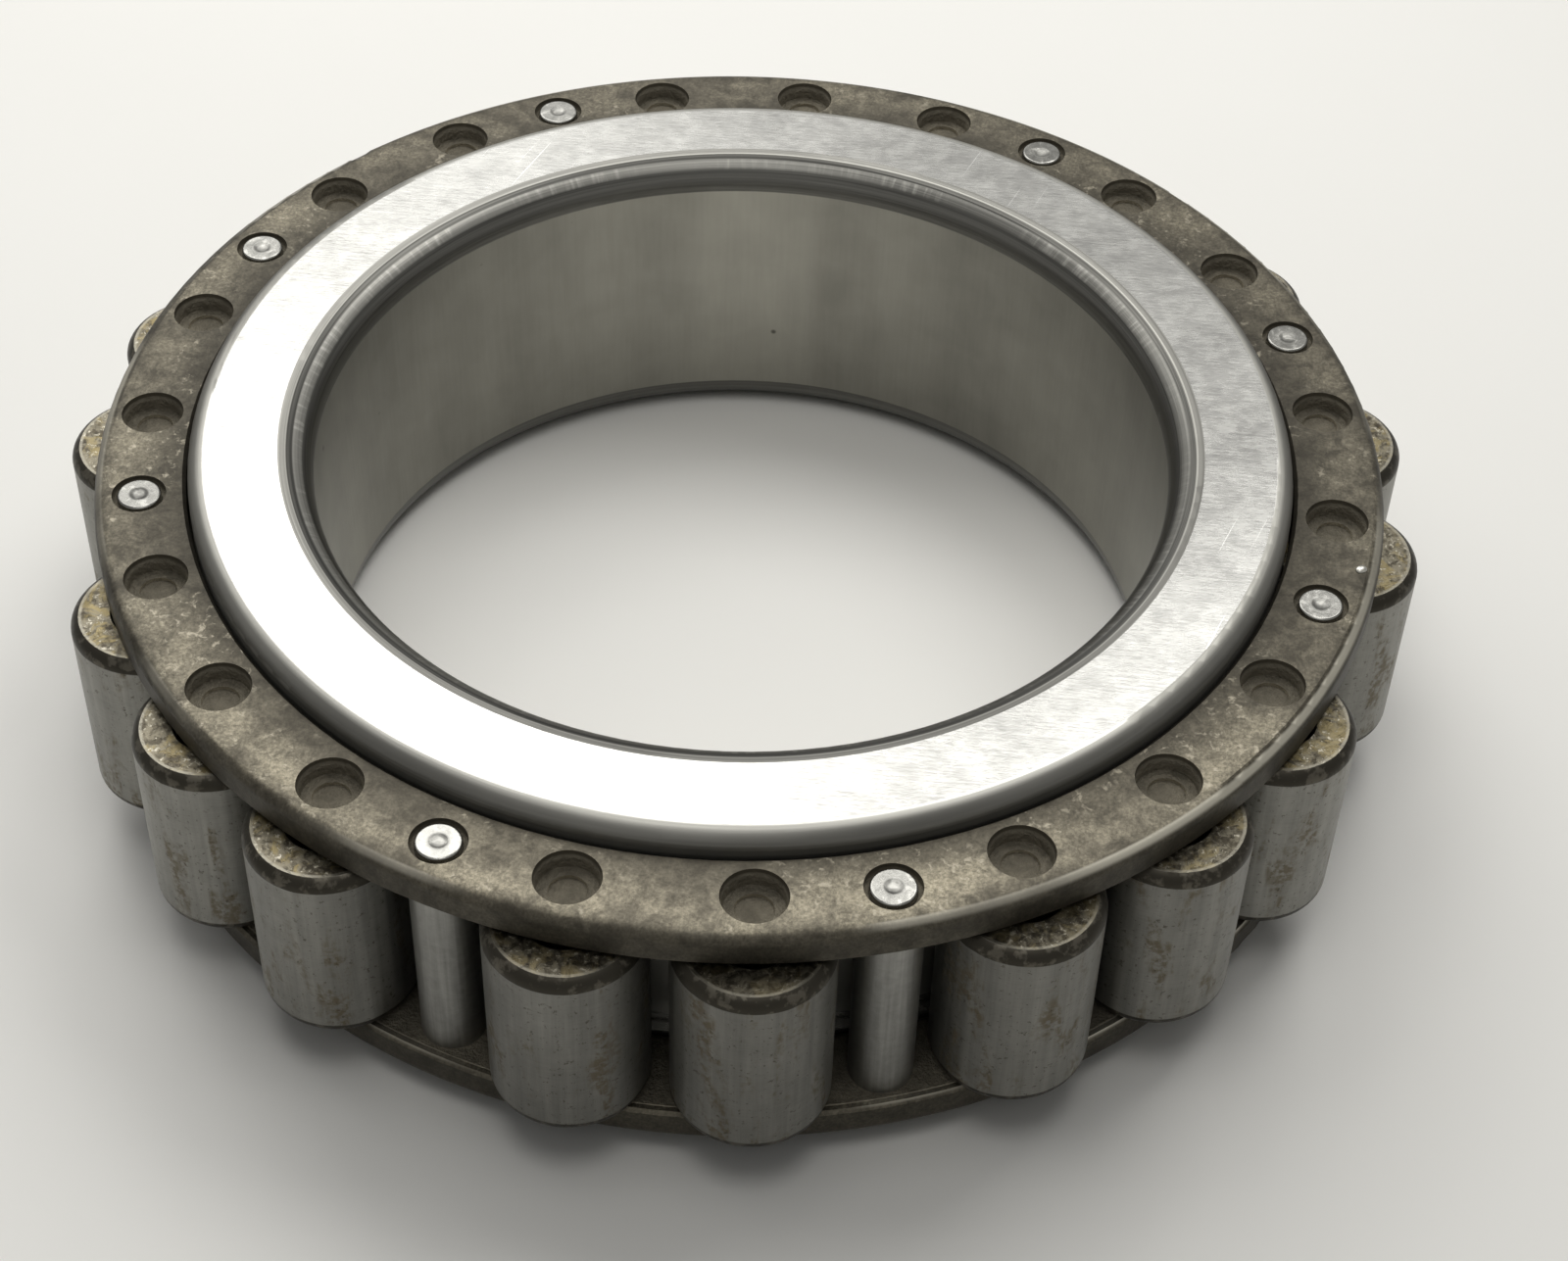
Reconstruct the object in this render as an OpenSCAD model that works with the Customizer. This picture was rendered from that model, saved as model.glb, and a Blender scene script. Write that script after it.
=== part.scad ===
// Cylindrical roller bearing without its outer ring: an inner ring with two guide ribs, straight
// rollers, and a cage of two plates held apart by riveted posts. Millimetres. The origin is in the
// middle of the bore, half way along the ring, and +Z is the bearing's axis.

/* [Inner ring] */
// Diameter of the bore
bore_d = 50; // [44:0.5:70]
// Width of the ring from face to face
ring_w = 20; // [18:0.5:24]
// Thickness of the ring between the bore and the raceway
ring_wall = 6.1; // [5:0.1:8]
// Height of the two guide ribs above the raceway
rib_h = 1; // [0.7:0.05:1.3]
// How far the rounded corner of the bore reaches across the face
bore_corner_radial = 1.9; // [0.8:0.1:2]
// How far the rounded corner of the bore reaches along the axis
bore_corner_axial = 2; // [2:0.1:3]
// Radius of the rounded outer corner of each rib
rib_corner = 1.05; // [0.5:0.05:1.3]
// Width of the grinding relief beside each rib
relief_w = 0.5; // [0.3:0.05:0.8]
// Depth of the grinding relief below the raceway
relief_depth = 0.15; // [0.1:0.05:0.3]

/* [Rollers] */
// Diameter of a roller
roller_d = 8.7; // [7.5:0.05:9.8]
// Length of a roller
roller_l = 12.6; // [10:0.1:14]
// How far the eased end of a roller is drawn in
roller_corner_radial = 0.5; // [0.3:0.05:0.7]
// How far the eased end of a roller reaches along it
roller_corner_axial = 0.8; // [0.7:0.05:1.5]
// Depth of the round recess in each roller end
recess_depth = 1; // [0.8:0.05:2]
// Chamfer at the mouth of the recess
recess_chamfer = 0.15; // [0.05:0.05:0.25]

/* [Cage plates] */
// Thickness of a cage plate
plate_t = 2.2; // [1.8:0.05:2.4]
// How far a plate reaches past the circle of roller axes
plate_reach = 2; // [1.5:0.1:3.5]
// Radius of the worn outer edge of a plate, on its outer face
plate_edge = 0.7; // [0.2:0.05:0.8]
// Chamfer on the other edges of a plate
plate_chamfer = 0.2; // [0.1:0.05:0.3]

/* [Dimples and bosses] */
// Diameter of a dimple at its mouth
dimple_d = 3.6; // [3.2:0.1:3.8]
// How much narrower a dimple is at its floor
dimple_taper = 0.3; // [0.1:0.05:0.5]
// Depth of a dimple
dimple_depth = 1.1; // [0.6:0.05:1.2]
// Depth of the small round hollow in the floor of a dimple
hollow_depth = 0.2; // [0.1:0.05:0.4]
// Diameter of the boss under a dimple, which holds the roller end
boss_d = 2.1; // [1.8:0.05:2.3]
// How far a boss reaches into the roller end
boss_reach = 0.6; // [0.4:0.05:0.7]
// How far the dimples lie inside the circle of roller axes
boss_inset = 0.75; // [0.5:0.05:0.9]

/* [Posts] */
// How far the posts lie inside the circle of roller axes
post_inset = 0.6; // [0:0.05:1]
// Diameter of a post between the plates
post_d = 3.6; // [3:0.05:4]
// Diameter of the riveted end of a post
tenon_d = 2.5; // [2.2:0.05:2.7]
// Width of the ring-shaped groove round a riveted end
groove_w = 0.3; // [0.2:0.05:0.4]
// Depth of the groove round a riveted end
groove_depth = 0.5; // [0.3:0.05:0.8]
// Radius of the eased edge of a riveted end
head_edge = 0.15; // [0.1:0.05:0.4]
// Diameter of the punch mark in the middle of a riveted end
punch_d = 1; // [0.6:0.05:1.4]
// Depth of the punch mark
punch_depth = 0.1; // [0.05:0.01:0.15]

/* [Clearances] */
// Play between a roller and the raceway
race_gap = 0.03; // [0.02:0.01:0.08]
// Play between a roller end and a guide rib
rib_gap = 0.05; // [0.03:0.01:0.1]
// Play between a roller end and a cage plate
end_gap = 0.15; // [0.1:0.01:0.3]
// Play between a cage plate and the rib that it rides on
land_gap = 0.15; // [0.12:0.01:0.25]
// Play between a boss and the wall of its recess
boss_gap = 0.15; // [0.1:0.01:0.2]
// Play between a riveted end and its hole
tenon_gap = 0.02; // [0.01:0.01:0.05]

/* [Layout] */
// Direction of the first post, seen from above
first_post_angle = -114.5; // [-180:0.5:180]

/* [Hidden] */
$fn = 96;
// How far cutting shapes reach past the surface that they cut
over = 1;
// Rollers between each post and the next, going round
group_sizes = [2, 3, 2, 2, 3, 2, 2, 3];
post_count = len(group_sizes);
roller_count = sum_to(group_sizes, post_count);

bore_r = bore_d / 2;
raceway_r = bore_r + ring_wall;
rib_r = raceway_r + rib_h;
roller_r = roller_d / 2;
pitch_r = raceway_r + race_gap + roller_r;
raceway_half = roller_l / 2 + rib_gap;

plate_inner_r = rib_r + land_gap;
plate_outer_r = pitch_r + plate_reach;
plate_under = roller_l / 2 + end_gap;
plate_face = plate_under + plate_t;

// How far the foot of a boss is sunk in its plate
boss_root = 0.25;
boss_r = boss_d / 2;
boss_circle_r = pitch_r - boss_inset;
recess_r = boss_inset + boss_r + boss_gap;

post_r = post_d / 2;
post_circle_r = pitch_r - post_inset;
tenon_r = tenon_d / 2;
hole_r = tenon_r + tenon_gap;
punch_arc = corner_arc(punch_depth, punch_d / 2);

// The room left round the circle of roller axes is shared out as equal gaps between neighbours
pitch_length = 2 * PI * pitch_r;
room = pitch_length - roller_count * roller_d - post_count * post_d;
gap = room / (roller_count + post_count);

// Angle from one roller to the next inside a group, and from a post to the roller beside it
roller_step = 360 * (roller_d + gap) / pitch_length;
post_step = 360 * ((roller_d + post_d) / 2 + gap) / pitch_length;

// Sum of the first n entries of a list
function sum_to(list, n) = n == 0 ? 0 : list[n - 1] + sum_to(list, n - 1);

// Direction of post k, counted from 0
function post_angle(k) =
    first_post_angle + 2 * k * post_step + (sum_to(group_sizes, k) - k) * roller_step;

// Directions of all rollers, going round from the first post
roller_angles = [
    for (k = [0 : post_count - 1])
        for (m = [0 : group_sizes[k] - 1])
            post_angle(k) + post_step + m * roller_step
];

// Radius of the arc that is tangent to a side and crosses the given corner
function corner_arc(across, along) = (across * across + along * along) / (2 * across);

function post_name(k) = str("post_", k);
function roller_name(k) = str("roller_", k < 10 ? "0" : "", k);

// What a rounded corner takes away: the side runs up the Y axis, with the solid at +X
module corner_waste(across, along) {
    arc = corner_arc(across, along);
    difference() {
        translate([-over, 0])
            square([across + over, along + over]);
        translate([arc, 0])
            circle(arc);
    }
}

// The same shape again, turned over end for end
module both_ends_2d() {
    children();
    mirror([0, 1])
        children();
}

// Moves its children out from the axis to a radius, in a direction
module placed(radius, angle) {
    rotate([0, 0, angle])
        translate([radius, 0, 0])
            children();
}

module inner_ring() {
    color("silver")
        rotate_extrude()
            difference() {
                translate([bore_r, -ring_w / 2])
                    square([rib_r - bore_r, ring_w]);
                translate([raceway_r, -raceway_half])
                    square([rib_h + over, 2 * raceway_half]);
                both_ends_2d() {
                    translate([bore_r, ring_w / 2 - bore_corner_axial])
                        corner_waste(bore_corner_radial, bore_corner_axial);
                    translate([rib_r, ring_w / 2 - rib_corner])
                        mirror([1, 0])
                            corner_waste(rib_corner, rib_corner);
                    translate([raceway_r - relief_depth, raceway_half - relief_w])
                        square([relief_depth + over, relief_w]);
                }
            }
}

// Cross-section of a plate: the rounded edge is on its outer face, the chamfers on the others
module plate_profile() {
    difference() {
        translate([plate_inner_r, plate_under])
            square([plate_outer_r - plate_inner_r, plate_t]);
        translate([plate_outer_r, plate_face - plate_edge])
            mirror([1, 0])
                corner_waste(plate_edge, plate_edge);
        for (corner = [[plate_inner_r, plate_face], [plate_inner_r, plate_under],
                       [plate_outer_r, plate_under]])
            translate(corner)
                rotate(45)
                    square(plate_chamfer * sqrt(2), center = true);
    }
}

// A blind dimple with a smaller hollow in its floor
module dimple() {
    translate([0, 0, plate_face - dimple_depth])
        cylinder(
            h = dimple_depth + over,
            d1 = dimple_d - dimple_taper,
            d2 = dimple_d + dimple_taper * over / dimple_depth
        );
    translate([0, 0, plate_face - dimple_depth - hollow_depth])
        cylinder(h = dimple_depth, d = boss_d);
}

// The boss that the dimple pushed out on the roller's side
module boss() {
    translate([0, 0, roller_l / 2 - boss_reach])
        cylinder(h = boss_reach + end_gap + boss_root, d = boss_d);
}

// The hole for a post's riveted end, with the groove round it on the outer face
module post_hole() {
    translate([0, 0, plate_under - over])
        cylinder(h = plate_t + 2 * over, r = hole_r);
    translate([0, 0, plate_face - groove_depth])
        cylinder(h = groove_depth + over, r = tenon_r + groove_w);
}

module cage_plate() {
    difference() {
        union() {
            rotate_extrude()
                plate_profile();
            for (angle = roller_angles)
                placed(boss_circle_r, angle)
                    boss();
        }
        for (angle = roller_angles)
            placed(boss_circle_r, angle)
                dimple();
        for (k = [0 : post_count - 1])
            placed(post_circle_r, post_angle(k))
                post_hole();
    }
}

module cage_plate_top() {
    color("#6b665a")
        cage_plate();
}

module cage_plate_bottom() {
    color("#6b665a")
        mirror([0, 0, 1])
            cage_plate();
}

// Half of a post's cross-section, from its middle up to the riveted end
module post_profile() {
    square([post_r, plate_under]);
    difference() {
        square([tenon_r, plate_face]);
        translate([tenon_r, plate_face - head_edge])
            mirror([1, 0])
                corner_waste(head_edge, head_edge);
        translate([0, plate_face - punch_depth + punch_arc])
            circle(punch_arc);
    }
}

// Post k, counted from 1
module post(k) {
    color("lightgray")
        placed(post_circle_r, post_angle(k - 1))
            rotate_extrude()
                both_ends_2d()
                    post_profile();
}

// Half of a roller's cross-section, from its middle up to one end
module roller_profile() {
    half = roller_l / 2;
    difference() {
        square([roller_r, half]);
        translate([roller_r, half - roller_corner_axial])
            mirror([1, 0])
                corner_waste(roller_corner_radial, roller_corner_axial);
        translate([0, half - recess_depth])
            square([recess_r, recess_depth + over]);
        translate([recess_r, half])
            rotate(45)
                square(recess_chamfer * sqrt(2), center = true);
    }
}

// Roller k, counted from 1
module roller(k) {
    color("#a9a699")
        placed(pitch_r, roller_angles[k - 1])
            rotate_extrude()
                both_ends_2d()
                    roller_profile();
}

inner_ring();
cage_plate_top();
cage_plate_bottom();
for (k = [1 : post_count])
    post(k);
for (k = [1 : roller_count])
    roller(k);
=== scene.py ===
"""Looks of a cylindrical roller bearing without its outer ring: materials, floor, light and camera."""
import math

import bmesh
import bpy
from mathutils import Matrix, Vector


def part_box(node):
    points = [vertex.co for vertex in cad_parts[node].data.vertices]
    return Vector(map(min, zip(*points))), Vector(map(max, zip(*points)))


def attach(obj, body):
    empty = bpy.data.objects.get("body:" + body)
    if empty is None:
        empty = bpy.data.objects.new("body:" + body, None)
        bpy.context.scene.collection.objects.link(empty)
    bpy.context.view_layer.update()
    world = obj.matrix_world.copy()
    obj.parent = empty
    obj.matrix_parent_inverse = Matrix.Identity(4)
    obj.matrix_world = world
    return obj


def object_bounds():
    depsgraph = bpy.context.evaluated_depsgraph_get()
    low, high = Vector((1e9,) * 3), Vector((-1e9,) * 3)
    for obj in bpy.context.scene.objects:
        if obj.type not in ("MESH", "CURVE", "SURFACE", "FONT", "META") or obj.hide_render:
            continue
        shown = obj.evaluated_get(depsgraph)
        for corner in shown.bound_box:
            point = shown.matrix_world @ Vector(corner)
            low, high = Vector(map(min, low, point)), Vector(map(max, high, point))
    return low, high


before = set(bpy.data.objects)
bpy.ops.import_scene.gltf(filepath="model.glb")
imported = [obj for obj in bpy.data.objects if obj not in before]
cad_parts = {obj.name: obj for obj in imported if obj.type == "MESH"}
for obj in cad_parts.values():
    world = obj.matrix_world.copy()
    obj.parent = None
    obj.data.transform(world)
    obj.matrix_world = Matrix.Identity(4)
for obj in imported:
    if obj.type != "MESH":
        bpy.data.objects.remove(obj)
cad_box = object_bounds()

MM = 0.001

# Sizes the materials need, in millimetres, read off the loaded pieces
ring_high = [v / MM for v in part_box("inner_ring")[1]]
plate_high = [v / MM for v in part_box("cage_plate_top")[1]]
roller_low, roller_high = [[v / MM for v in c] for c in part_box("roller_01")]
RING_FACE = ring_high[2]
PLATE_FACE = plate_high[2]
PLATE_R = plate_high[0]
ROLLER_R = (roller_high[0] - roller_low[0]) / 2
ROLLER_HALF = (roller_high[2] - roller_low[2]) / 2

# Sizes that no piece's outline gives
BORE_R = 25.0
CORNER_R = BORE_R + 1.9  # the bore's rounded corner reaches this far out on the face
CORNER_Z = RING_FACE - 2.0  # and down the bore to this height
DIMPLES_FROM, DIMPLES_TO = 32.6, 36.9  # the circle band that holds the dimples and rivets
DIMPLE_FLOOR = PLATE_FACE - 1.1
RECESS_R = 2.0  # the recess in a roller's end


class Graph:
    """A node material, built one node at a time, in millimetres.

    p is the place, x, y and z its parts, r the distance from the axis, dir the direction from the
    axis with the parts dx and dy, h the height above or below the middle, and up how far a surface
    faces up or down. With a centre, the axis is the piece's own.
    """

    def __init__(self, name, centre=(0.0, 0.0)):
        self.mat = bpy.data.materials.new(name)
        self.mat.use_nodes = True
        self.tree = self.mat.node_tree
        self.tree.nodes.clear()
        self.out = self.tree.nodes.new("ShaderNodeOutputMaterial")
        coords = self.tree.nodes.new("ShaderNodeTexCoord")
        scaled = self.vector("SCALE", coords.outputs["Object"], scale=1 / MM)
        self.p = self.vector("SUBTRACT", scaled, (centre[0], centre[1], 0.0))
        self.x, self.y, self.z = self.split(self.p)
        _, _, tilt = self.split(coords.outputs["Normal"])
        flat = self.join(self.x, self.y, 0.0)
        self.r = self.length(flat)
        self.dir = self.vector("NORMALIZE", flat)
        self.dx, self.dy, _ = self.split(self.dir)
        self.up = self.math("ABSOLUTE", tilt)
        self.h = self.math("ABSOLUTE", self.z)

    def put(self, socket, value):
        if isinstance(value, bpy.types.NodeSocket):
            self.tree.links.new(value, socket)
        elif isinstance(value, (tuple, list)) and len(socket.default_value) == 4 and len(value) == 3:
            socket.default_value = (*value, 1.0)
        else:
            socket.default_value = value

    def math(self, op, a, b=None, clamp=False):
        n = self.tree.nodes.new("ShaderNodeMath")
        n.operation = op
        n.use_clamp = clamp
        for i, v in enumerate((a, b)):
            if v is not None:
                self.put(n.inputs[i], v)
        return n.outputs[0]

    def vector(self, op, a, b=None, scale=None):
        n = self.tree.nodes.new("ShaderNodeVectorMath")
        n.operation = op
        self.put(n.inputs[0], a)
        if b is not None:
            self.put(n.inputs[1], b)
        if scale is not None:
            self.put(n.inputs["Scale"], scale)
        return n.outputs[0]

    def length(self, a):
        n = self.tree.nodes.new("ShaderNodeVectorMath")
        n.operation = "LENGTH"
        self.put(n.inputs[0], a)
        return n.outputs["Value"]

    def split(self, v):
        n = self.tree.nodes.new("ShaderNodeSeparateXYZ")
        self.put(n.inputs[0], v)
        return n.outputs[0], n.outputs[1], n.outputs[2]

    def join(self, x, y, z):
        n = self.tree.nodes.new("ShaderNodeCombineXYZ")
        for i, v in enumerate((x, y, z)):
            self.put(n.inputs[i], v)
        return n.outputs[0]

    def add(self, a, b, *more):
        total = self.math("ADD", a, b)
        for c in more:
            total = self.math("ADD", total, c)
        return total

    def sub(self, a, b):
        return self.math("SUBTRACT", a, b)

    def mul(self, a, b, *more):
        product = self.math("MULTIPLY", a, b)
        for c in more:
            product = self.math("MULTIPLY", product, c)
        return product

    def inv(self, a):
        return self.math("SUBTRACT", 1.0, a, clamp=True)

    def noise(self, vector, scale=1.0, detail=2.0, rough=0.5, warp=0.0):
        n = self.tree.nodes.new("ShaderNodeTexNoise")
        n.noise_dimensions = "3D"
        self.put(n.inputs["Vector"], vector)
        self.put(n.inputs["Scale"], scale)
        self.put(n.inputs["Detail"], detail)
        self.put(n.inputs["Roughness"], rough)
        self.put(n.inputs["Distortion"], warp)
        return n.outputs["Fac"]

    def cells(self, vector, scale):
        n = self.tree.nodes.new("ShaderNodeTexVoronoi")
        n.feature = "F1"
        self.put(n.inputs["Vector"], vector)
        self.put(n.inputs["Scale"], scale)
        return n.outputs["Distance"]

    def ramp(self, kind, *values):
        n = self.tree.nodes.new("ShaderNodeMapRange")
        n.interpolation_type = kind
        for socket, v in zip(("Value", "From Min", "From Max", "To Min", "To Max"), values):
            self.put(n.inputs[socket], v)
        return n.outputs["Result"]

    def step(self, value, low, high, to_low=0.0, to_high=1.0):
        """A smooth step from to_low to to_high as value goes from low to high."""
        return self.ramp("SMOOTHSTEP", value, low, high, to_low, to_high)

    def line(self, value, low, high, to_low=0.0, to_high=1.0):
        """A straight ramp, clamped at both ends."""
        return self.ramp("LINEAR", value, low, high, to_low, to_high)

    def spread(self, noise, to_low, to_high):
        """A noise's usual values, 0.3 to 0.7, drawn out from to_low to to_high."""
        return self.line(noise, 0.3, 0.7, to_low, to_high)

    def band(self, value, low, high, soft):
        """1 between low and high, falling to 0 within soft outside them."""
        rise = self.step(value, low - soft, low)
        return self.mul(rise, self.step(value, high, high + soft, 1.0, 0.0))

    def mix(self, factor, a, b, blend="MIX"):
        n = self.tree.nodes.new("ShaderNodeMix")
        n.data_type = "RGBA"
        n.blend_type = blend
        self.put(n.inputs[0], factor)
        self.put(n.inputs[6], a)
        self.put(n.inputs[7], b)
        return n.outputs[2]

    def tint(self, tone, green, blue):
        """A grey of the given tone, with these shares of green and blue."""
        return self.join(tone, self.mul(tone, green), self.mul(tone, blue))

    def blend(self, factor, a, b):
        """What mix does for colours, for plain numbers."""
        n = self.tree.nodes.new("ShaderNodeMix")
        n.data_type = "FLOAT"
        self.put(n.inputs[0], factor)
        self.put(n.inputs[2], a)
        self.put(n.inputs[3], b)
        return n.outputs[0]

    def ring_lines(self, along, across, axis_scale=0.0, seed=0.0):
        """Noise drawn out into lines that run round the axis."""
        v = self.join(
            self.add(self.mul(self.dx, along), seed),
            self.mul(self.dy, along),
            self.add(self.mul(self.r, across), self.mul(self.z, axis_scale)),
        )
        return self.noise(v, 1.0, 3.0, 0.55)

    def straight_lines(self, turn, along, across, seed=0.0, detail=2.0):
        """Noise drawn out into straight lines across a flat face, turned by an angle in degrees."""
        c, s = math.cos(math.radians(turn)), math.sin(math.radians(turn))
        u = self.add(self.mul(self.x, c), self.mul(self.y, s))
        w = self.sub(self.mul(self.y, c), self.mul(self.x, s))
        v = self.join(self.add(self.mul(u, along), seed), self.mul(w, across), self.mul(self.z, 0.3))
        return self.noise(v, 1.0, detail, 0.55)

    def bump(self, height, strength, distance):
        n = self.tree.nodes.new("ShaderNodeBump")
        self.put(n.inputs["Height"], height)
        self.put(n.inputs["Strength"], strength)
        self.put(n.inputs["Distance"], distance * MM)
        return n.outputs[0]

    def surface(self, colour, rough, normal, metallic=1.0):
        s = self.tree.nodes.new("ShaderNodeBsdfPrincipled")
        self.put(s.inputs["Base Color"], colour)
        self.put(s.inputs["Roughness"], rough)
        self.put(s.inputs["Metallic"], metallic)
        self.put(s.inputs["Normal"], normal)
        self.tree.links.new(s.outputs[0], self.out.inputs["Surface"])
        return self.mat


def ring_steel():
    """Ground faces, turned and darker corners, a ground raceway and a smooth satin bore."""
    g = Graph("ring_ground")
    face = g.mul(g.step(g.up, 0.985, 0.997), g.step(g.r, CORNER_R - 0.04, CORNER_R + 0.02))
    bore = g.mul(g.step(g.h, CORNER_Z - 0.03, CORNER_Z + 0.03, 1.0, 0.0),
                 g.step(g.r, BORE_R + 0.1, BORE_R + 0.3, 1.0, 0.0))

    # Fine grinding lines that cross the face, in two directions
    lines_a = g.straight_lines(-4, 0.5, 7.0, 3.0)
    lines_b = g.straight_lines(24, 0.9, 9.0, 11.0)
    fine = g.straight_lines(-12, 1.6, 22.0, 23.0, 1.0)
    marks = g.add(g.mul(lines_a, 0.4), g.mul(lines_b, 0.2), g.mul(fine, 0.4))
    blotch = g.noise(g.p, 0.22, 3.0, 0.55)
    smudge = g.noise(g.p, 0.7, 4.0, 0.6, 0.4)
    face_tone = g.add(g.line(marks, 0.36, 0.64, -0.10, 0.10), g.spread(blotch, 0.40, 0.50),
                      g.line(smudge, 0.35, 0.65, -0.03, 0.03))
    # Painted shade: the face is painted darker towards the right, except at the front
    painted_shade_right = g.mul(g.line(g.x, 10.0, 30.0, 0.0, 0.08), g.step(g.dy, -0.55, -0.1))
    face_tone = g.sub(face_tone, painted_shade_right)
    face_rough = g.add(g.spread(marks, 0.21, 0.26), g.spread(smudge, 0.0, 0.06))

    # A few long straight scratches, all one way
    hair = g.step(g.straight_lines(66, 0.09, 4.0, 31.0, 0.0), 0.80, 0.86)
    face_colour = g.tint(face_tone, 0.995, 0.955)
    face_colour = g.mix(g.mul(hair, 0.55), face_colour, (0.9, 0.9, 0.88))

    # Corners of the bore: a grey margin with a painted highlight line inside it, then a band with short
    # ticks
    turned = g.ring_lines(2.0, 7.0, 7.0)
    rings = g.ring_lines(0.6, 16.0, 0.0, 9.0)
    ticks = g.noise(g.join(g.mul(g.dx, 80), g.mul(g.dy, 80), g.mul(g.z, 0.8)), 1.0, 2.0, 0.5)
    patch = g.step(g.noise(g.dir, 2.2, 1.0, 0.5), 0.36, 0.56)
    margin = g.step(g.r, CORNER_R - 0.38, CORNER_R - 0.34)
    highlight_line = g.band(g.r, CORNER_R - 0.45, CORNER_R - 0.39, 0.04)
    light_band = g.band(g.r, CORNER_R - 1.3, CORNER_R - 0.9, 0.12)
    tick = g.mul(g.step(ticks, 0.46, 0.74), light_band, patch)
    dark_line = g.band(g.r, CORNER_R - 0.75, CORNER_R - 0.5, 0.1)
    # Painted light: the margin and the band are painted lighter on the left side, and the lower part of the
    # corner next to the bore is painted lighter to lift its shade; the bright line is a painted highlight
    corner_tone = g.add(
        g.spread(turned, 0.07, 0.13),
        g.spread(rings, -0.03, 0.03),
        g.mul(light_band, g.line(g.dx, -0.9, 0.1, 0.16, 0.05)),
        g.mul(tick, 0.13),
        g.step(g.r, CORNER_R - 1.75, CORNER_R - 1.4, 0.07, 0.0),
        g.mul(dark_line, -0.03),
        g.mul(margin, g.line(g.dx, -0.9, 0.1, 0.12, 0.05)),
        g.mul(highlight_line, 0.16),
    )

    # Outer corners and sides of the ribs, and the ground raceway between them
    outer = g.step(g.r, BORE_R + 2.0, BORE_R + 3.0)
    drop = g.sub(RING_FACE, g.h)
    # The rib sides get a painted highlight just below the face and are painted lighter further down, as
    # painted light that lifts the shade in the gap to the cage
    rib_tone = g.add(
        g.spread(turned, 0.16, 0.25),
        g.line(drop, 0.5, 2.0, 0.0, 0.12),
        g.mul(g.step(drop, 0.04, 0.2, 1.0, 0.0), 0.12),
    )
    race = g.step(g.h, ROLLER_HALF + 0.05, ROLLER_HALF - 0.1)
    rib_tone = g.blend(race, rib_tone, 0.45)
    corner_tone = g.blend(outer, corner_tone, rib_tone)
    corner_colour = g.tint(corner_tone, 0.985, 0.91)

    # The bore: broad soft bands up the wall, a painted light band up the back, and a few small pits
    bands = g.noise(g.join(g.mul(g.dx, 4), g.mul(g.dy, 4), g.mul(g.z, 0.02)), 1.0, 2.0, 0.5)
    cloud = g.noise(g.p, 0.3, 3.0, 0.5, 0.3)
    fine_up = g.noise(g.join(g.mul(g.dx, 90), g.mul(g.dy, 90), g.mul(g.z, 0.25)), 1.0, 2.0, 0.5)
    # Painted light: a lighter band up the back of the bore
    painted_light_band = g.mul(g.band(g.dx, -0.1, 0.12, 0.09), g.step(g.dy, 0.0, 0.5), 0.06)
    bore_tone = g.add(g.spread(bands, 0.25, 0.31), g.spread(fine_up, -0.008, 0.008),
                      g.spread(cloud, -0.02, 0.02), painted_light_band)
    pits = g.step(g.cells(g.p, 0.2), 0.02, 0.05, 0.35, 1.0)
    bore_tone = g.mul(bore_tone, pits)
    bore_colour = g.tint(bore_tone, 0.975, 0.86)

    colour = g.mix(face, corner_colour, face_colour)
    colour = g.mix(bore, colour, bore_colour)
    rough = g.blend(face, g.blend(outer, 0.38, 0.5), face_rough)
    rough = g.blend(bore, rough, 0.38)
    relief = g.blend(face, g.mul(turned, 1.5), g.sub(marks, g.mul(hair, 0.4)))
    relief = g.blend(bore, relief, g.mul(fine_up, 0.3))
    return g.surface(colour, rough, g.bump(relief, 0.35, 0.012))


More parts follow.
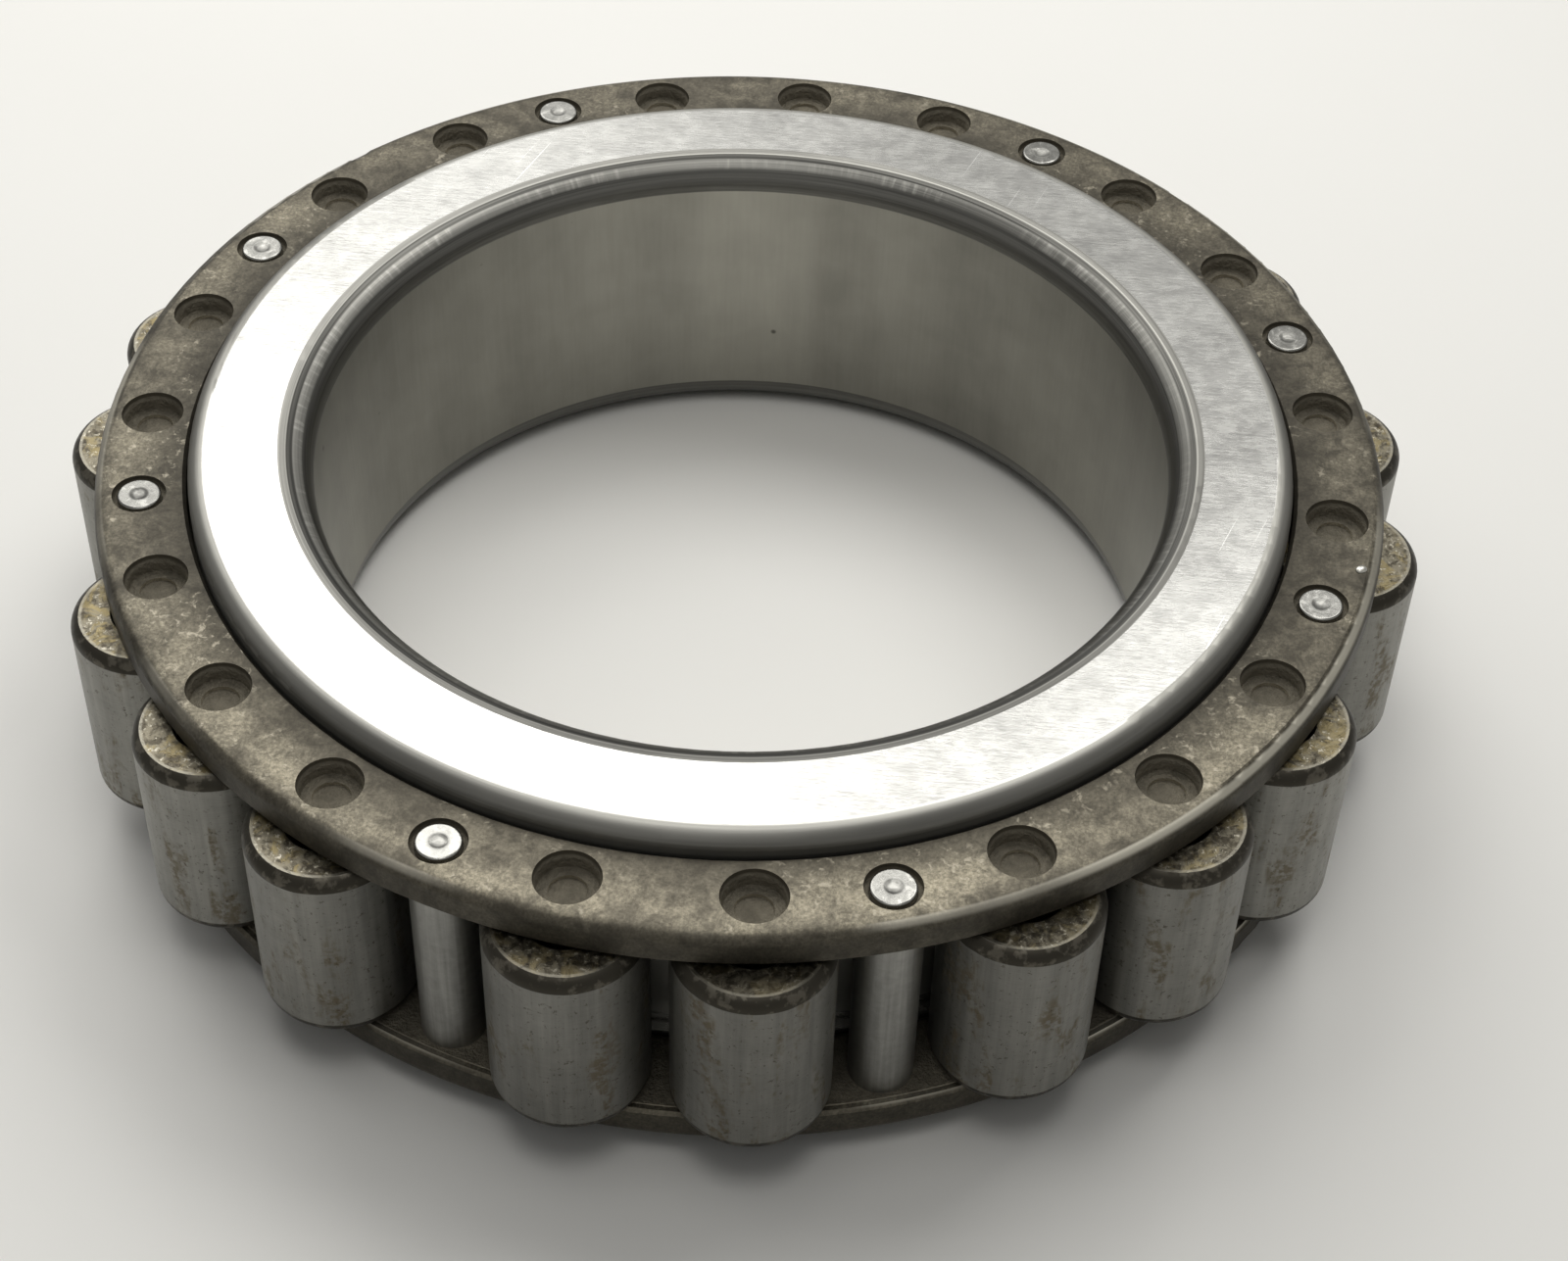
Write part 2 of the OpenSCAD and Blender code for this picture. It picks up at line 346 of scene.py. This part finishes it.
def cage_steel():
    """Dark brown-grey patina, rubbed lighter along the middle of the face, with painted shade towards the
    ring, on the walls, at the left and right and at the outer rim, and painted light at the front and on the
    dimple walls.
    """
    g = Graph("cage_patina")
    big = g.noise(g.p, 0.17, 2.0, 0.5, 0.4)
    mid = g.noise(g.p, 0.8, 5.0, 0.65, 0.5)
    small = g.noise(g.p, 5.5, 3.0, 0.65)
    brush = g.straight_lines(78, 1.6, 9.0, 5.0, 3.0)
    wear = g.add(g.mul(big, 0.5), g.mul(mid, 0.38), g.mul(brush, 0.12))
    top = g.step(g.up, 0.75, 0.97)
    outward = g.step(g.r, PLATE_R - 5.2, PLATE_R - 2.0)
    rub = g.mul(g.step(wear, 0.38, 0.66), g.blend(outward, 0.12, 1.0), g.blend(top, 0.25, 1.0))
    # Fine grain, multiplied with painted shade: darker towards the ring, on faces that don't face up,
    # towards the left and right and at the outer rim, and painted light at the front
    grain_and_painted_shade = g.mul(
        g.spread(small, 0.78, 1.22),
        g.line(g.r, PLATE_R - 5.2, PLATE_R - 1.0, 0.55, 1.0),
        g.step(g.up, 0.15, 0.7, 0.72, 1.0),
        g.line(g.math("ABSOLUTE", g.dx), 0.3, 1.0, 1.0, 0.74),
        g.line(g.dy, -1.0, -0.5, 1.22, 1.0),
        g.step(g.r, PLATE_R - 1.6, PLATE_R - 0.7, 1.0, 0.74),
    )
    dark = g.mix(g.line(mid, 0.38, 0.62), (0.078, 0.070, 0.054), (0.122, 0.110, 0.085))
    light = g.mix(g.line(small, 0.35, 0.65), (0.155, 0.139, 0.103), (0.245, 0.221, 0.166))
    colour = g.mix(rub, dark, light)
    colour = g.mix(1.0, colour, g.join(grain_and_painted_shade, grain_and_painted_shade, grain_and_painted_shade), "MULTIPLY")

    # Small crumbs of lighter rubbed metal, and dark stains
    crumbs = g.mul(g.step(g.noise(g.p, 1.9, 4.0, 0.62, 0.4), 0.55, 0.70), g.step(big, 0.44, 0.58))
    colour = g.mix(g.mul(crumbs, top, 0.6), colour, (0.34, 0.31, 0.245))
    stain = g.step(g.noise(g.p, 1.7, 4.0, 0.6, 0.8), 0.58, 0.68)
    colour = g.mix(g.mul(stain, 0.5), colour, (0.05, 0.044, 0.033))

    # The outer edge: a painted highlight along one stretch at the front right, and worn bright here and
    # there
    highlight_stretch = g.mul(g.band(g.dx, 0.55, 0.88, 0.2), g.step(g.dy, -0.3, 0.0, 1.0, 0.0))
    places = g.mul(g.step(g.noise(g.dir, 2.6, 2.0, 0.5), 0.42, 0.62), 0.6)
    edge = g.mul(g.band(g.r, PLATE_R - 0.42, PLATE_R - 0.22, 0.16), g.band(g.up, 0.45, 0.9, 0.15),
                 g.math("MAXIMUM", highlight_stretch, places))
    colour = g.mix(g.mul(edge, 0.9), colour, (0.52, 0.495, 0.42))

    # The dimples: an even, rough floor, and walls painted lighter, as painted light in their shade
    dimples = g.band(g.r, DIMPLES_FROM, DIMPLES_TO, 0.1)
    sunk = g.mul(g.step(g.h, PLATE_FACE - 0.6, PLATE_FACE - 0.2, 1.0, 0.0), dimples)
    upright = g.inv(g.mul(g.up, 2.0))
    below_floor = g.step(g.h, DIMPLE_FLOOR - 0.03, DIMPLE_FLOOR + 0.01, 1.0, 0.0)
    floor_colour = g.mix(g.line(mid, 0.35, 0.65), (0.13, 0.118, 0.092), (0.20, 0.181, 0.142))
    colour = g.mix(g.mul(sunk, 0.75), colour, floor_colour)
    # Painted light: the upright walls of the dimples and of their hollows are painted lighter
    colour = g.mix(g.mul(dimples, upright, 0.35), colour, (0.36, 0.327, 0.255))
    colour = g.mix(g.mul(sunk, below_floor, upright, 0.8), colour, (0.46, 0.417, 0.325))
    rough = g.blend(rub, 0.52, g.spread(mid, 0.37, 0.46))
    rough = g.blend(sunk, rough, 0.7)
    pitted = g.mul(sunk, g.noise(g.p, 3.2, 4.0, 0.65), 16.0)
    relief = g.add(g.mul(small, 0.5), g.mul(mid, 0.7), g.mul(brush, 0.2), pitted)
    return g.surface(colour, rough, g.bump(relief, 0.5, 0.035), metallic=0.85)


def post_steel(name, centre, seed, shine):
    """Smooth grey sides, and a lighter riveted end with a small ring-shaped punch mark.

    shine scales how bright the end is.
    """
    g = Graph(name, centre)
    at = g.vector("ADD", g.p, (seed * 13.7, seed * 5.3, 0.0))
    head = g.step(g.h, PLATE_FACE - 0.55, PLATE_FACE - 0.35)
    mottle = g.noise(at, 1.6, 4.0, 0.6, 0.5)
    fine = g.noise(at, 9.0, 2.0, 0.5)
    ring = g.band(g.r, 0.36, 0.5, 0.1)
    tone = g.add(g.spread(mottle, 0.20, 0.33), g.spread(fine, -0.015, 0.015))
    tone = g.mul(g.add(tone, g.mul(g.step(mottle, 0.55, 0.65), 0.1)), shine)
    tone = g.sub(tone, g.mul(ring, 0.07))
    # Painted light: the upright sides at the rim of the end, in the groove, are painted an even grey that
    # lifts their shade
    rim = g.step(g.r, 0.95, 1.2)
    tone = g.blend(g.mul(rim, g.inv(g.step(g.up, 0.6, 0.9))), tone, 0.30)
    streak = g.noise(g.join(g.mul(g.dx, 6), g.mul(g.dy, 6), g.mul(g.z, 0.12)), 1.0, 3.0, 0.55)
    side = g.add(g.spread(streak, 0.24, 0.34), g.spread(mottle, -0.03, 0.03))
    tone = g.blend(head, side, tone)
    colour = g.tint(tone, 0.99, 0.93)
    head_rough = g.add(g.spread(mottle, 0.20, 0.30), g.step(g.r, 0.5, 0.7, 0.16, 0.0))
    rough = g.blend(head, 0.42, head_rough)
    relief = g.add(g.mul(fine, 0.3), g.sub(g.mul(mottle, 0.8), g.mul(ring, 0.3)))
    return g.surface(colour, rough, g.bump(relief, 0.25, 0.03))


def roller_steel(name, centre, seed, crust, painted_front_shade):
    """Satin ground sides with streaks and stains, a dark eased corner, and mottled ends.

    crust says how much straw-coloured crust and how many painted glints are on the ends, and where it is low
    the ends are darker, partly oil and partly painted shade; the last argument says how much darker the
    sides are painted, as painted shade.
    """
    g = Graph(name, centre)
    at = g.vector("ADD", g.p, (seed * 9.1, seed * 17.3, seed * 3.7))
    end = g.step(g.up, 0.9, 0.98)
    corner = g.band(g.up, 0.10, 0.85, 0.06)

    turn = g.join(g.add(g.mul(g.dx, 3.5), seed * 3.1), g.mul(g.dy, 3.5), g.mul(g.z, 0.03))
    streak = g.noise(turn, 1.6, 4.0, 0.7)
    cloud = g.noise(at, 0.5, 3.0, 0.6, 0.4)
    grind = g.noise(g.join(g.mul(g.dx, 2.0), g.add(g.mul(g.dy, 2.0), seed), g.mul(g.z, 14.0)), 1.0, 2.0, 0.5)
    side = g.add(g.spread(streak, 0.19, 0.29), g.spread(grind, -0.012, 0.012),
                 g.spread(cloud, -0.02, 0.02))
    # Painted shade: the sides of the rollers in front are painted darker
    side = g.mul(side, 1.0 - 0.16 * painted_front_shade)
    side_colour = g.tint(side, 0.985, 0.90)
    drawn = g.vector("MULTIPLY", at, (0.5, 0.5, 0.15))
    stain = g.mul(g.step(g.noise(drawn, 1.0, 4.0, 0.65, 0.4), 0.51, 0.64),
                  g.step(g.noise(at, 2.2, 3.0, 0.6), 0.36, 0.60))
    side_colour = g.mix(g.mul(stain, 0.7), side_colour, (0.125, 0.098, 0.055))
    specks = g.mul(g.step(g.noise(at, 3.2, 3.0, 0.7), 0.60, 0.68), 0.7)
    side_colour = g.mix(specks, side_colour, (0.07, 0.06, 0.045))

    # The ends: dark, with straw-coloured patches and small painted glints, which are painted highlights
    gold = g.noise(at, 0.65, 5.0, 0.65, 0.8)
    dirt = g.noise(at, 1.9, 4.0, 0.65, 0.5)
    painted_glint = g.step(g.noise(at, 3.4, 4.0, 0.7, 0.5), 0.54, 0.62)
    # Where the crust is faint, in front, the ends are painted darker, partly oil and partly painted shade
    # under the plate
    light = 0.22 + 0.78 * crust
    end_colour = g.mix(g.step(dirt, 0.38, 0.62), (0.055 * light, 0.048 * light, 0.036 * light),
                       (0.19 * light, 0.172 * light, 0.13 * light))
    end_colour = g.mix(g.mul(g.step(gold, 0.48, 0.60), 0.75 * crust), end_colour, (0.22, 0.18, 0.092))
    # Painted highlights: small bright glints on the crust
    painted_glints = g.mul(painted_glint, crust, g.step(dirt, 0.45, 0.6))
    end_colour = g.mix(painted_glints, end_colour, (0.50, 0.468, 0.387))
    # A painted highlight: a thin bright line along the rim of the end, stronger where the crust is
    rim = g.band(g.r, ROLLER_R - 0.62, ROLLER_R - 0.52, 0.1)
    end_colour = g.mix(g.mul(rim, 0.2 + 0.3 * crust), end_colour, (0.30, 0.285, 0.24))
    # Painted shade: the recess in the end is painted dark
    recess = g.step(g.r, RECESS_R - 0.1, RECESS_R + 0.15, 1.0, 0.0)
    end_colour = g.mix(g.mul(recess, 0.8), end_colour, (0.04, 0.035, 0.027))

    colour = g.mix(end, side_colour, end_colour)
    worn = g.step(g.noise(at, 1.3, 3.0, 0.6), 0.50, 0.64)
    colour = g.mix(corner, colour, g.mix(worn, (0.045, 0.041, 0.033), (0.105, 0.096, 0.078)))
    rough = g.blend(end, g.spread(streak, 0.40, 0.48), g.spread(dirt, 0.34, 0.52))
    rough = g.add(rough, g.mul(stain, 0.15))
    lumps = g.add(g.mul(dirt, 1.4), g.mul(painted_glint, 0.5), gold)
    relief = g.blend(end, g.add(g.mul(grind, 0.25), g.mul(stain, 0.3)), lumps)
    return g.surface(colour, rough, g.bump(relief, 0.5, 0.03))


def use(node, material):
    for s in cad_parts[node].material_slots:
        s.material = material


def each(prefix):
    """The number from 1, the name and the centre of every node whose name starts so."""
    for number, node in enumerate(sorted(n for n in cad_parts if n.startswith(prefix)), 1):
        low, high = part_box(node)
        yield number, node, ((low[0] + high[0]) / 2 / MM, (low[1] + high[1]) / 2 / MM)


def viewed_rays(tree):
    """1 for rays that see or mirror a surface, 0 for those that light another one."""
    rays = tree.nodes.new("ShaderNodeLightPath")
    viewed = rays.outputs["Is Camera Ray"]
    for kind in ("Is Glossy Ray", "Is Transmission Ray"):
        n = tree.nodes.new("ShaderNodeMath")
        n.operation = "MAXIMUM"
        tree.links.new(viewed, n.inputs[0])
        tree.links.new(rays.outputs[kind], n.inputs[1])
        viewed = n.outputs[0]
    return viewed


def mix_shaders(tree, factor, a, b):
    n = tree.nodes.new("ShaderNodeMixShader")
    for socket, source in zip(n.inputs, (factor, a, b)):
        tree.links.new(source, socket)
    return n.outputs[0]


use("inner_ring", ring_steel())
cage_material = cage_steel()
use("cage_plate_top", cage_material)
use("cage_plate_bottom", cage_material)

# One rivet end, at the left, is much duller than the rest, and the others at the right are a little darker,
# the further right the darker
for number, node, (x, y) in each("post_"):
    shine = 0.62 if x < -30 and abs(y) < 10 else 1.0 - 0.005 * max(0.0, x)
    use(node, post_steel("post_steel_%d" % number, (x, y), number, shine))

# The crust is strong at the left, weaker at the right and faint in front, where the sides are painted
# darker, as painted shade
for number, node, (x, y) in each("roller_"):
    crust = min(1.0, max(0.15, -x / 20, x / 45))
    painted_front_shade = min(1.0, max(0.0, (-y - 20) / 12))
    use(node, roller_steel("roller_steel_%02d" % number, (x, y), number, crust, painted_front_shade))

# A small bead of metal stuck to the top plate, on its outer margin
bead_r, bead_h, around, levels = 0.33, 0.22, 20, 6
bead_circle, bead_angle, bead_sunk = 36.45, math.radians(-14.9), 0.02
bead_at = Matrix.Rotation(bead_angle, 3, "Z") @ Vector((bead_circle, 0, PLATE_FACE - bead_sunk))
shape = bmesh.new()
loops = []
for level in range(levels):
    rise = level / levels * math.pi / 2
    loop = []
    for k in range(around):
        a = 2 * math.pi * k / around
        reach = bead_r * math.cos(rise) * (1 + 0.12 * math.sin(2 * a + 0.6))
        point = bead_at + Vector((reach * math.cos(a), reach * math.sin(a), bead_h * math.sin(rise)))
        loop.append(shape.verts.new(point * MM))
    loops.append(loop)
tip = shape.verts.new((bead_at + Vector((0, 0, bead_h))) * MM)
for k in range(around):
    after = (k + 1) % around
    for lower, upper in zip(loops, loops[1:]):
        shape.faces.new((lower[k], lower[after], upper[after], upper[k]))
    shape.faces.new((loops[-1][k], loops[-1][after], tip))
shape.faces.new(reversed(loops[0]))
bead_mesh = bpy.data.meshes.new("bead")
shape.to_mesh(bead_mesh)
shape.free()
for face in bead_mesh.polygons:
    face.use_smooth = True
bead = bpy.data.objects.new("bead", bead_mesh)
bpy.context.collection.objects.link(bead)
g = Graph("bead_steel")
bead_tone = g.spread(g.noise(g.p, 6.0, 3.0, 0.6), 0.42, 0.6)
bead_colour = g.tint(bead_tone, 0.98, 0.9)
bead_mesh.materials.append(g.surface(bead_colour, 0.3, g.bump(bead_tone, 0.4, 0.03)))
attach(bead, "cage")

# Floor: one wide pale sheet that the ring stands on
ROOM_GREY = (0.45, 0.445, 0.43, 1.0)
FLOOR_HALF = 2.0  # metres from the middle to a side
FADE_FROM, FADE_TO = 140.0, 400.0  # millimetres from the axis

mesh = bpy.data.meshes.new("floor")
corners = [(i * FLOOR_HALF, j * FLOOR_HALF, cad_box[0][2]) for i, j in ((-1, -1), (1, -1), (1, 1), (-1, 1))]
mesh.from_pydata(corners, [], [(0, 1, 2, 3)])
floor = bpy.data.objects.new("floor", mesh)
bpy.context.collection.objects.link(floor)
g = Graph("floor_paper")
tone = g.noise(g.p, 0.03, 3.0, 0.5)
paper = g.mix(tone, (0.84, 0.83, 0.795), (0.87, 0.862, 0.83))
g.surface(paper, 0.7, g.bump(g.noise(g.p, 1.5, 3.0, 0.6), 0.1, 0.05), metallic=0.0)

# Far from the object the paper fades into the pale grey of the room, where it is seen or mirrored
near = g.out.inputs["Surface"].links[0].from_socket
far = g.tree.nodes.new("ShaderNodeEmission")
far.inputs["Color"].default_value = ROOM_GREY
away = g.mul(viewed_rays(g.tree), g.step(g.r, FADE_FROM, FADE_TO))
g.tree.links.new(mix_shaders(g.tree, away, near, far.outputs[0]), g.out.inputs["Surface"])
mesh.materials.append(g.mat)

# Light: soft lamps, most of them behind the object and above it, and an even room
world = bpy.data.worlds.new("room")
bpy.context.scene.world = world
world.use_nodes = True
room = world.node_tree
room.nodes.clear()
even = room.nodes.new("ShaderNodeBackground")
even.inputs["Color"].default_value = (0.97, 0.985, 1.0, 1.0)
even.inputs["Strength"].default_value = 0.14
backdrop = room.nodes.new("ShaderNodeBackground")
backdrop.inputs["Color"].default_value = ROOM_GREY
room_out = room.nodes.new("ShaderNodeOutputWorld")
light = mix_shaders(room, viewed_rays(room), even.outputs[0], backdrop.outputs[0])
room.links.new(light, room_out.inputs["Surface"])

LAMP_SIZE = 0.17  # metres across
LAMP_AWAY = 0.32  # metres from the object's middle


def lamp(name, azimuth, elevation, power):
    """A soft round lamp that faces the object's middle. Angles are degrees."""
    data = bpy.data.lights.new(name, "AREA")
    data.shape = "DISK"
    data.size = LAMP_SIZE
    data.energy = power
    data.color = (1.0, 0.99, 0.965)
    obj = bpy.data.objects.new(name, data)
    a, e = math.radians(azimuth), math.radians(elevation)
    way = Vector((math.cos(e) * math.cos(a), math.cos(e) * math.sin(a), math.sin(e)))
    obj.location = way * LAMP_AWAY
    obj.rotation_euler = way.to_track_quat("Z", "Y").to_euler()
    obj.visible_camera = False
    bpy.context.collection.objects.link(obj)


lamp("back", 110, 56, 0.265)
lamp("back_low", 112, 38, 0.045)
lamp("back_lowest", 100, 25, 0.05)
lamp("left", 135, 40, 0.157)
lamp("left_high", 140, 76, 0.07)
lamp("right", 50, 58, 0.31)
lamp("right_low", 66, 38, 0.028)
lamp("front_high", 270, 78, 0.165)
lamp("front", 270, 58, 0.03)

# Camera: the photograph's angle, level apart from a slight roll
elevation, roll = math.radians(45.054), math.radians(-1.909)
right = Vector((1, 0, 0))
up = Vector((0, math.sin(elevation), math.cos(elevation)))
behind = Vector((0, -math.cos(elevation), math.sin(elevation)))
cam_x = math.cos(roll) * right - math.sin(roll) * up
cam_y = math.sin(roll) * right + math.cos(roll) * up
camera_data = bpy.data.cameras.new("camera")
camera_data.sensor_fit = "HORIZONTAL"
camera_data.sensor_width = 36.0
camera_data.lens = 67.466
camera_data.clip_start = 0.01
camera = bpy.data.objects.new("camera", camera_data)
place = Vector((2.805, -129.651, 122.761)) * MM
camera.matrix_world = Matrix.Translation(place) @ Matrix((cam_x, cam_y, behind)).transposed().to_4x4()
bpy.context.collection.objects.link(camera)
bpy.context.scene.camera = camera
bpy.context.scene.view_settings.view_transform = "Standard"
